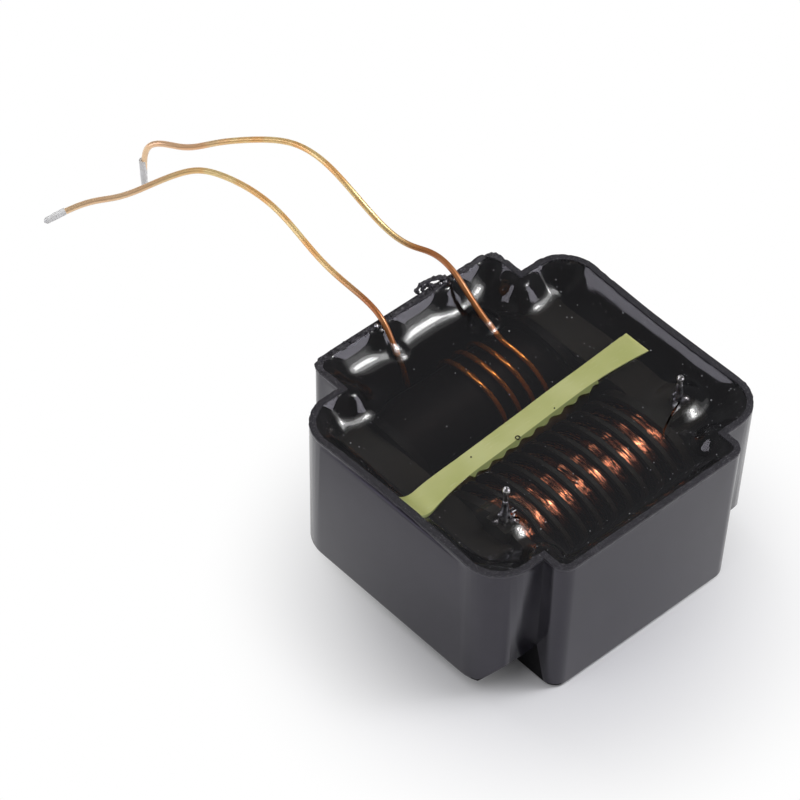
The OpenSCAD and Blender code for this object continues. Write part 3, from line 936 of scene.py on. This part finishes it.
def secondary_wires():
    """Copper in each slot, with the top layer's strands as separate rings."""
    chance = random.Random(11)
    strand = flat_strand()
    pieces = []
    for i in range(sec_slots):
        low = flange_x(i) + (end_flange_t if i == 0 else sec_flange_t) / 2
        high = flange_x(i + 1) - (end_flange_t if i == sec_slots - 1 else sec_flange_t) / 2
        bpy.ops.mesh.primitive_cylinder_add(vertices=72, radius=copper_r - strand_r,
                                            depth=high - low,
                                            location=((low + high) / 2, sec_y, axis_z),
                                            rotation=(0, math.pi / 2, 0))
        pieces.append(fresh("slot_fill"))
        settle(pieces[-1])
        pieces += [loose_ring(strand, low, high, k, chance) for k in range(strands_a_slot)]
    bpy.data.objects.remove(strand)
    pieces.append(end_wire(flange_x(0) + sec_pitch / 2, left_pin_x))
    pieces.append(end_wire(flange_x(sec_slots) - sec_pitch / 2, right_pin_x))
    winding = join(pieces, "secondary_wires")
    smooth_sides(winding, 50)
    finish_piece(winding, FINE_COPPER, ["secondary_winding"])


def turned(name, centre, profile, sides=24):
    """A piece built up ring by ring from (radius, height) pairs, closed at both ends."""
    first_r, first_z = profile[0]
    cx, cy = centre
    bpy.ops.mesh.primitive_circle_add(vertices=sides, radius=first_r, fill_type="NGON",
                                      location=(cx, cy, first_z))
    piece = fresh(name)
    settle(piece)
    edit_all()
    for (r0, z0), (r1, z1) in zip(profile, profile[1:]):
        bpy.ops.mesh.extrude_region_move(TRANSFORM_OT_translate={"value": (0, 0, z1 - z0)})
        bpy.ops.transform.resize(value=(r1 / r0, r1 / r0, 1), center_override=(cx, cy, z1))
    turn_outwards()
    return piece


def output_pin(side, x, top):
    """A tinned pin with a narrow neck and a small ball head that has a dimple."""
    profile = [(0.55, 23.6), (0.55, 27.0), (0.50, 28.6), (0.43, 30.2), (0.40, top - 1.3),
               (0.46, top - 1.1), (0.58, top - 0.85), (0.63, top - 0.55), (0.59, top - 0.28),
               (0.48, top - 0.08), (0.38, top), (0.30, top - 0.14), (0.08, top - 0.2)]
    pin = turned("pin_" + side, (x, pin_y), profile)
    roughen(pin, (0.07, 0, 0), 1.1, 5)
    roughen(pin, (0, 0.07, 0), 1.1, 50)
    smooth_sides(pin, 45)
    finish_piece(pin, TINNED, ["output_pin_" + side])


def bead(place, r):
    """A small ball, to be melted together with others."""
    bpy.ops.mesh.primitive_ico_sphere_add(subdivisions=3, radius=r, location=place)
    ball = fresh("bead")
    settle(ball)
    return ball


def solder_foot(side, x, beads, spikes):
    """Solder drawn up a pin as a cone, with beads and spikes round its foot.

    Beads are (x, y, z, radius) and spikes are (x, y, z) and a reach, with x and y from the pin.
    """
    profile = [(1.15, 26.3), (1.10, 27.1), (0.88, 28.1), (0.68, 29.1), (0.56, 30.1), (0.47, 31.0)]
    pieces = [turned("solder_cone", (x, pin_y), profile, 20)]
    for dx, dy, z, r in beads:
        pieces.append(bead((x + dx, pin_y + dy, z), r))
    for (dx, dy, z), reach in spikes:
        start = Vector((x + dx, pin_y + dy, z))
        points = [start, start + Vector(reach) * 0.5, start + Vector(reach)]
        pieces.append(tube("spike", points, 0.2, 1, [1.2, 0.8, 0.25]))
    lump = join(pieces, "solder_" + side)
    apply_modifier(lump, "REMESH", mode="VOXEL", voxel_size=0.11)
    for vertex in lump.data.vertices:
        push = 0.10 * wobble(vertex.co, 0.9, 31) + 0.03 * wobble(vertex.co, 3.4, 7)
        radial = Vector((vertex.co.x - x, vertex.co.y - pin_y, 0))
        if radial.length > 0.01:
            vertex.co += radial.normalized() * push
    apply_modifier(lump, "SMOOTH", iterations=2, factor=0.5)
    smooth_sides(lump, 60)
    finish_piece(lump, SOLDER, ["pin_solder_" + side])


# The folded sheet: a strip on the resin's surface and a web down between the coils
def sheet_edges(x):
    """Back and front edge of the strip at a place along X."""
    back = strip_back + strip_slope * x - 0.54 * max(0.0, (-20 - x) / 8) ** 2
    width = dry_width(max(0.0, x - right_flare_x), max(0.0, left_flare_x - x))
    if sunk_from < x < sunk_to:
        width = max(width, sunk_w)
    return back, back - width


def top_strip():
    """The strip, curled up at the left wall and wavy at the front where the flanges meet it."""
    bpy.ops.mesh.primitive_grid_add(x_subdivisions=110, y_subdivisions=10, size=1)
    strip = fresh("strip")
    for vertex in strip.data.vertices:
        across, along = vertex.co.y + 0.5, vertex.co.x + 0.5
        x = strip_left + (strip_right - strip_left) * along
        x -= (1 - along) * 0.3 * (1 - across)
        back, front = sheet_edges(x)
        if across < 0.05 and sunk_from < x < sunk_to:
            front += 0.3 * math.cos((x - flange_x(0)) / sec_pitch * 2 * math.pi)
        curl = max(0.0, (curl_x - x) / curl_l)
        lift = curl_h * curl ** 2 + 0.10 * math.sin(x * 0.23) * (0.4 + across)
        vertex.co = (x, front + (back - front) * across, resin_z + 0.42 + lift)
    return strip


def hanging_web():
    """The web down from the strip's back edge, wide over the yokes and narrow between them."""
    web_h = 19.5
    wide_half = 24.2
    narrow_half = 17.2
    bpy.ops.mesh.primitive_grid_add(x_subdivisions=90, y_subdivisions=14, size=1)
    web = fresh("web")
    for vertex in web.data.vertices:
        down, along = 0.5 - vertex.co.y, vertex.co.x + 0.5
        half = narrow_half if down > 0.2 else wide_half
        x = set_shift + (2 * along - 1) * half
        back, _ = sheet_edges(x)
        z = resin_z + 0.4 - down * web_h
        vertex.co = (x, back - 0.02 - 0.25 * down * math.sin(x * 0.21), z)
    return web


def folded_sheet():
    sheet = join([top_strip(), hanging_web()], "folded_sheet")
    edit_all()
    turn_outwards()
    apply_modifier(sheet, "SOLIDIFY", thickness=0.22, offset=0)
    smooth_sides(sheet, 40)
    finish_piece(sheet, FILM, ["insulation_sheet"])


def dust_places(count):
    """Places and sizes of dust on the resin, thicker by the walls and at the right."""
    chance = random.Random(4)
    places = []
    while len(places) < count:
        x = chance.uniform(-28, 28)
        y = chance.uniform(-27, 27)
        gap = wall_gap(x, y)
        if gap < 0.5 or (gap > 5 and chance.random() > 0.28):
            continue
        if chance.random() > (0.35 if x < 5 else 0.8):
            continue
        size = 0.045 + 0.065 * chance.random() ** 3
        places.append(((x, y, resin_z + resin_height(x, y) + size * 0.2), size))
    return places


def dust_specks():
    """Small round specks, each a copy with its own mesh."""
    chance = random.Random(11)
    bpy.ops.mesh.primitive_ico_sphere_add(subdivisions=1, radius=1)
    first = fresh("speck")
    pieces = []
    for place, size in dust_places(230):
        speck = copied(first)
        speck.location = place
        speck.scale = [size * chance.uniform(0.6, 1.3) for _ in range(3)]
        speck.rotation_euler = [chance.uniform(0, 3) for _ in range(3)]
        pieces.append(speck)
    bpy.data.objects.remove(first)
    specks = join(pieces, "dust_specks")
    settle(specks)
    finish_piece(specks, DUST)


def strip_marks():
    """A burst bubble and two grains on the strip."""
    bpy.ops.mesh.primitive_torus_add(major_radius=0.36, minor_radius=0.09, major_segments=24,
                                     minor_segments=8, location=(-4.2, -2.5, resin_z + 0.6))
    pieces = [fresh("bubble")]
    for place in ((-12.6, -0.7, resin_z + 0.55), (4.6, -1.7, resin_z + 0.55)):
        bpy.ops.mesh.primitive_ico_sphere_add(subdivisions=2, radius=0.15, location=place)
        pieces.append(fresh("grain"))
    for piece in pieces:
        settle(piece)
    marks = join(pieces, "strip_marks")
    roughen(marks, (0.05, 0.05, 0.02), 2.0, 12)
    smooth_sides(marks, 60)
    finish_piece(marks, CASE_PLASTIC)


def rim_beads():
    """Drops of resin on the back rim, beside the leads."""
    places = [((-6.3, 28.45, 29.35), 0.42), ((-5.6, 28.2, 29.1), 0.34), ((-6.0, 27.7, 28.9), 0.30),
              ((8.9, 28.6, 29.4), 0.40), ((8.0, 28.7, 29.4), 0.30), ((9.3, 28.0, 29.2), 0.28)]
    beads = join([bead(place, r) for place, r in places], "rim_beads")
    apply_modifier(beads, "REMESH", mode="VOXEL", voxel_size=0.08)
    roughen(beads, (0.1, 0.1, 0.1), 1.6, 40)
    apply_modifier(beads, "SMOOTH", iterations=3, factor=0.5)
    smooth_sides(beads, 60)
    finish_piece(beads, SOLDER)


def torn_bits():
    """Strands and flakes of plastic torn up from the back rim."""
    chance = random.Random(7)
    hook = [(9.6, 28.9, 29.2), (8.3, 29.2, 30.3), (6.4, 29.3, 31.0), (4.4, 29.3, 31.3),
            (3.2, 29.3, 30.7), (3.5, 29.4, 29.9)]
    spur = [(6.8, 28.9, 29.2), (6.2, 29.3, 30.0), (5.0, 29.35, 30.2), (4.2, 29.3, 29.8)]
    pieces = []
    for points, thick in ((hook, 0.62), (spur, 0.52)):
        way = smooth_route(points, 4)
        widths = [chance.uniform(0.6, 1.3) * (1 - 0.5 * k / len(way)) for k in range(len(way))]
        pieces.append(tube("strand", way, thick, 1, widths))
    for _ in range(110):
        x = chance.uniform(-18, 12) if chance.random() < 0.75 else chance.uniform(3, 11)
        bpy.ops.mesh.primitive_cone_add(vertices=5, radius1=chance.uniform(0.15, 0.5),
                                        depth=chance.uniform(0.3, 0.9),
                                        location=(x, chance.uniform(28.5, 29.25), 29.25))
        flake = fresh("flake")
        flake.rotation_euler = [chance.uniform(-1.3, 1.3) for _ in range(3)]
        flake.scale = (1, chance.uniform(0.3, 0.8), 1)
        settle(flake)
        pieces.append(flake)
    torn = join(pieces, "torn_bits")
    roughen(torn, (0, 0.16, 0), 2.1, 8)
    roughen(torn, (0, 0, 0.22), 2.4, 18)
    smooth_sides(torn, 25)
    finish_piece(torn, CASE_PLASTIC)


def dress_nodes():
    """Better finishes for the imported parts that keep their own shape."""
    finishes = {
        "core_half_left": FERRITE, "core_half_right": FERRITE,
        "gap_spacer_front": SPACER, "gap_spacer_back": SPACER,
        "secondary_bobbin": RIBBED_BOBBIN, "primary_bobbin": PLAIN_BOBBIN}
    for node, material in finishes.items():
        data = frame["nodes"][node].data
        data.materials.clear()
        data.materials.append(material)


# Floor and light
def pale_floor():
    """A floor with the object's shadow near it, which turns plain white further off."""
    bpy.ops.mesh.primitive_circle_add(vertices=96, radius=3.0, fill_type="NGON",
                                      location=(0, 0, -0.00005))
    floor = fresh("floor")
    settle(floor)
    finish = Finish("pale_table")
    lit = finish.surface(base_color=(0.86, 0.86, 0.895), roughness=0.7)
    white = finish.step("ShaderNodeEmission", {}, {"Color": (1, 1, 1, 1), "Strength": 1.0})
    rays = finish.step("ShaderNodeLightPath")
    seen = rays.other("Is Camera Ray").at_least(rays.other("Is Glossy Ray"))
    seen = seen.at_least(rays.other("Is Transmission Ray"))
    shadow_middle = (-6.0, -12.0, 0.0)
    away = finish.step("ShaderNodeVectorMath", {"operation": "DISTANCE"},
                       {0: finish.place, 1: shadow_middle}, "Value").over(12.0, 44.0)
    table = finish.step("ShaderNodeMixShader", {}, {0: seen * away, 1: lit, 2: white})
    floor.data.materials.append(finish.done(table))


def dim_room():
    world = bpy.data.worlds.new("room")
    bpy.context.scene.world = world
    world.use_nodes = True
    background = world.node_tree.nodes["Background"]
    background.inputs["Color"].default_value = (1, 1, 1.05, 1)
    background.inputs["Strength"].default_value = 0.12


def side_panel(name, direction, width, height, brightness):
    """An upright cool white panel beside the table, which only glossy faces show."""
    data = bpy.data.lights.new(name, "AREA")
    data.shape = "RECTANGLE"
    data.size = width
    data.size_y = height
    data.energy = brightness * math.pi * width * height
    data.color = (0.90, 0.87, 1.0)
    panel = placed(name, data)
    away = Vector((*direction, 0)).normalized()
    panel.location = away * 1.2 + Vector((0, 0, height / 2 + 0.02))
    panel.rotation_euler = away.to_track_quat("Z", "Y").to_euler()
    panel.visible_diffuse = False


def softbox(name, direction, distance, size, brightness, mirrored=True):
    """A round lamp that faces the object; mirrored tells whether glossy faces show it."""
    data = bpy.data.lights.new(name, "AREA")
    data.shape = "DISK"
    data.size = size
    data.energy = brightness * math.pi * math.pi * size * size / 4
    lamp = placed(name, data)
    away = Vector(direction).normalized()
    lamp.location = away * distance
    lamp.rotation_euler = away.to_track_quat("Z", "Y").to_euler()
    lamp.visible_glossy = mirrored


case_shell()
resin_body()
primary_wire()
lead_tip("left", left_route, 3.4)
lead_tip("right", right_route, 6.4)
secondary_wires()
output_pin("left", left_pin_x, 33.8)
output_pin("right", right_pin_x, 32.5)

left_beads = [(-1.75, 0.1, 27.0, 0.56), (-0.95, 0.1, 28.3, 0.36), (0.1, -1.6, 27.2, 0.32)]
drops = random.Random(3)
for _ in range(16):
    left_beads.append((drops.uniform(-0.3, 1.4), drops.uniform(-2.2, -0.9),
                       drops.uniform(26.9, 27.8), drops.uniform(0.13, 0.24)))
left_spikes = [((0.5, -0.9, 28.6), (1.0, -0.3, 0.2)), ((0.5, -0.8, 29.0), (0.5, -0.2, 0.6)),
               ((0.2, -1.2, 27.8), (0.3, -0.9, 0.2))]
right_beads = [(-1.25, -0.7, 27.0, 0.70), (1.0, -0.7, 26.9, 0.76), (-0.6, 0.2, 28.7, 0.46)]
right_spikes = [((-1.0, -1.3, 27.1), (-2.2, -0.4, -0.1))]
solder_foot("left", left_pin_x, left_beads, left_spikes)
solder_foot("right", right_pin_x, right_beads, right_spikes)

folded_sheet()
dust_specks()
torn_bits()
strip_marks()
rim_beads()
dress_nodes()

pale_floor()
dim_room()
# The key light: discs one behind the other, so that its mirror image fades at the edge
key = (0.478, -0.336, 0.811)
for disc, (size, brightness) in enumerate(((0.19, 18.5), (0.42, 5.0), (0.56, 1.3), (0.80, 0.6))):
    softbox("key_softbox", key, 1 + disc * 0.01, size, brightness)
softbox("back_softbox", (0.05, 0.85, 0.53), 1.2, 0.80, 2.2, mirrored=False)
softbox("fill_softbox", (-0.45, 0.0, 0.89), 1.2, 0.80, 1.9, mirrored=False)
side_panel("right_panel", (0.478, -0.75), 0.62, 0.95, 3.6)
side_panel("left_panel", (-0.80, 0.487), 0.62, 1.20, 2.7)

bpy.context.scene.view_settings.view_transform = "Standard"
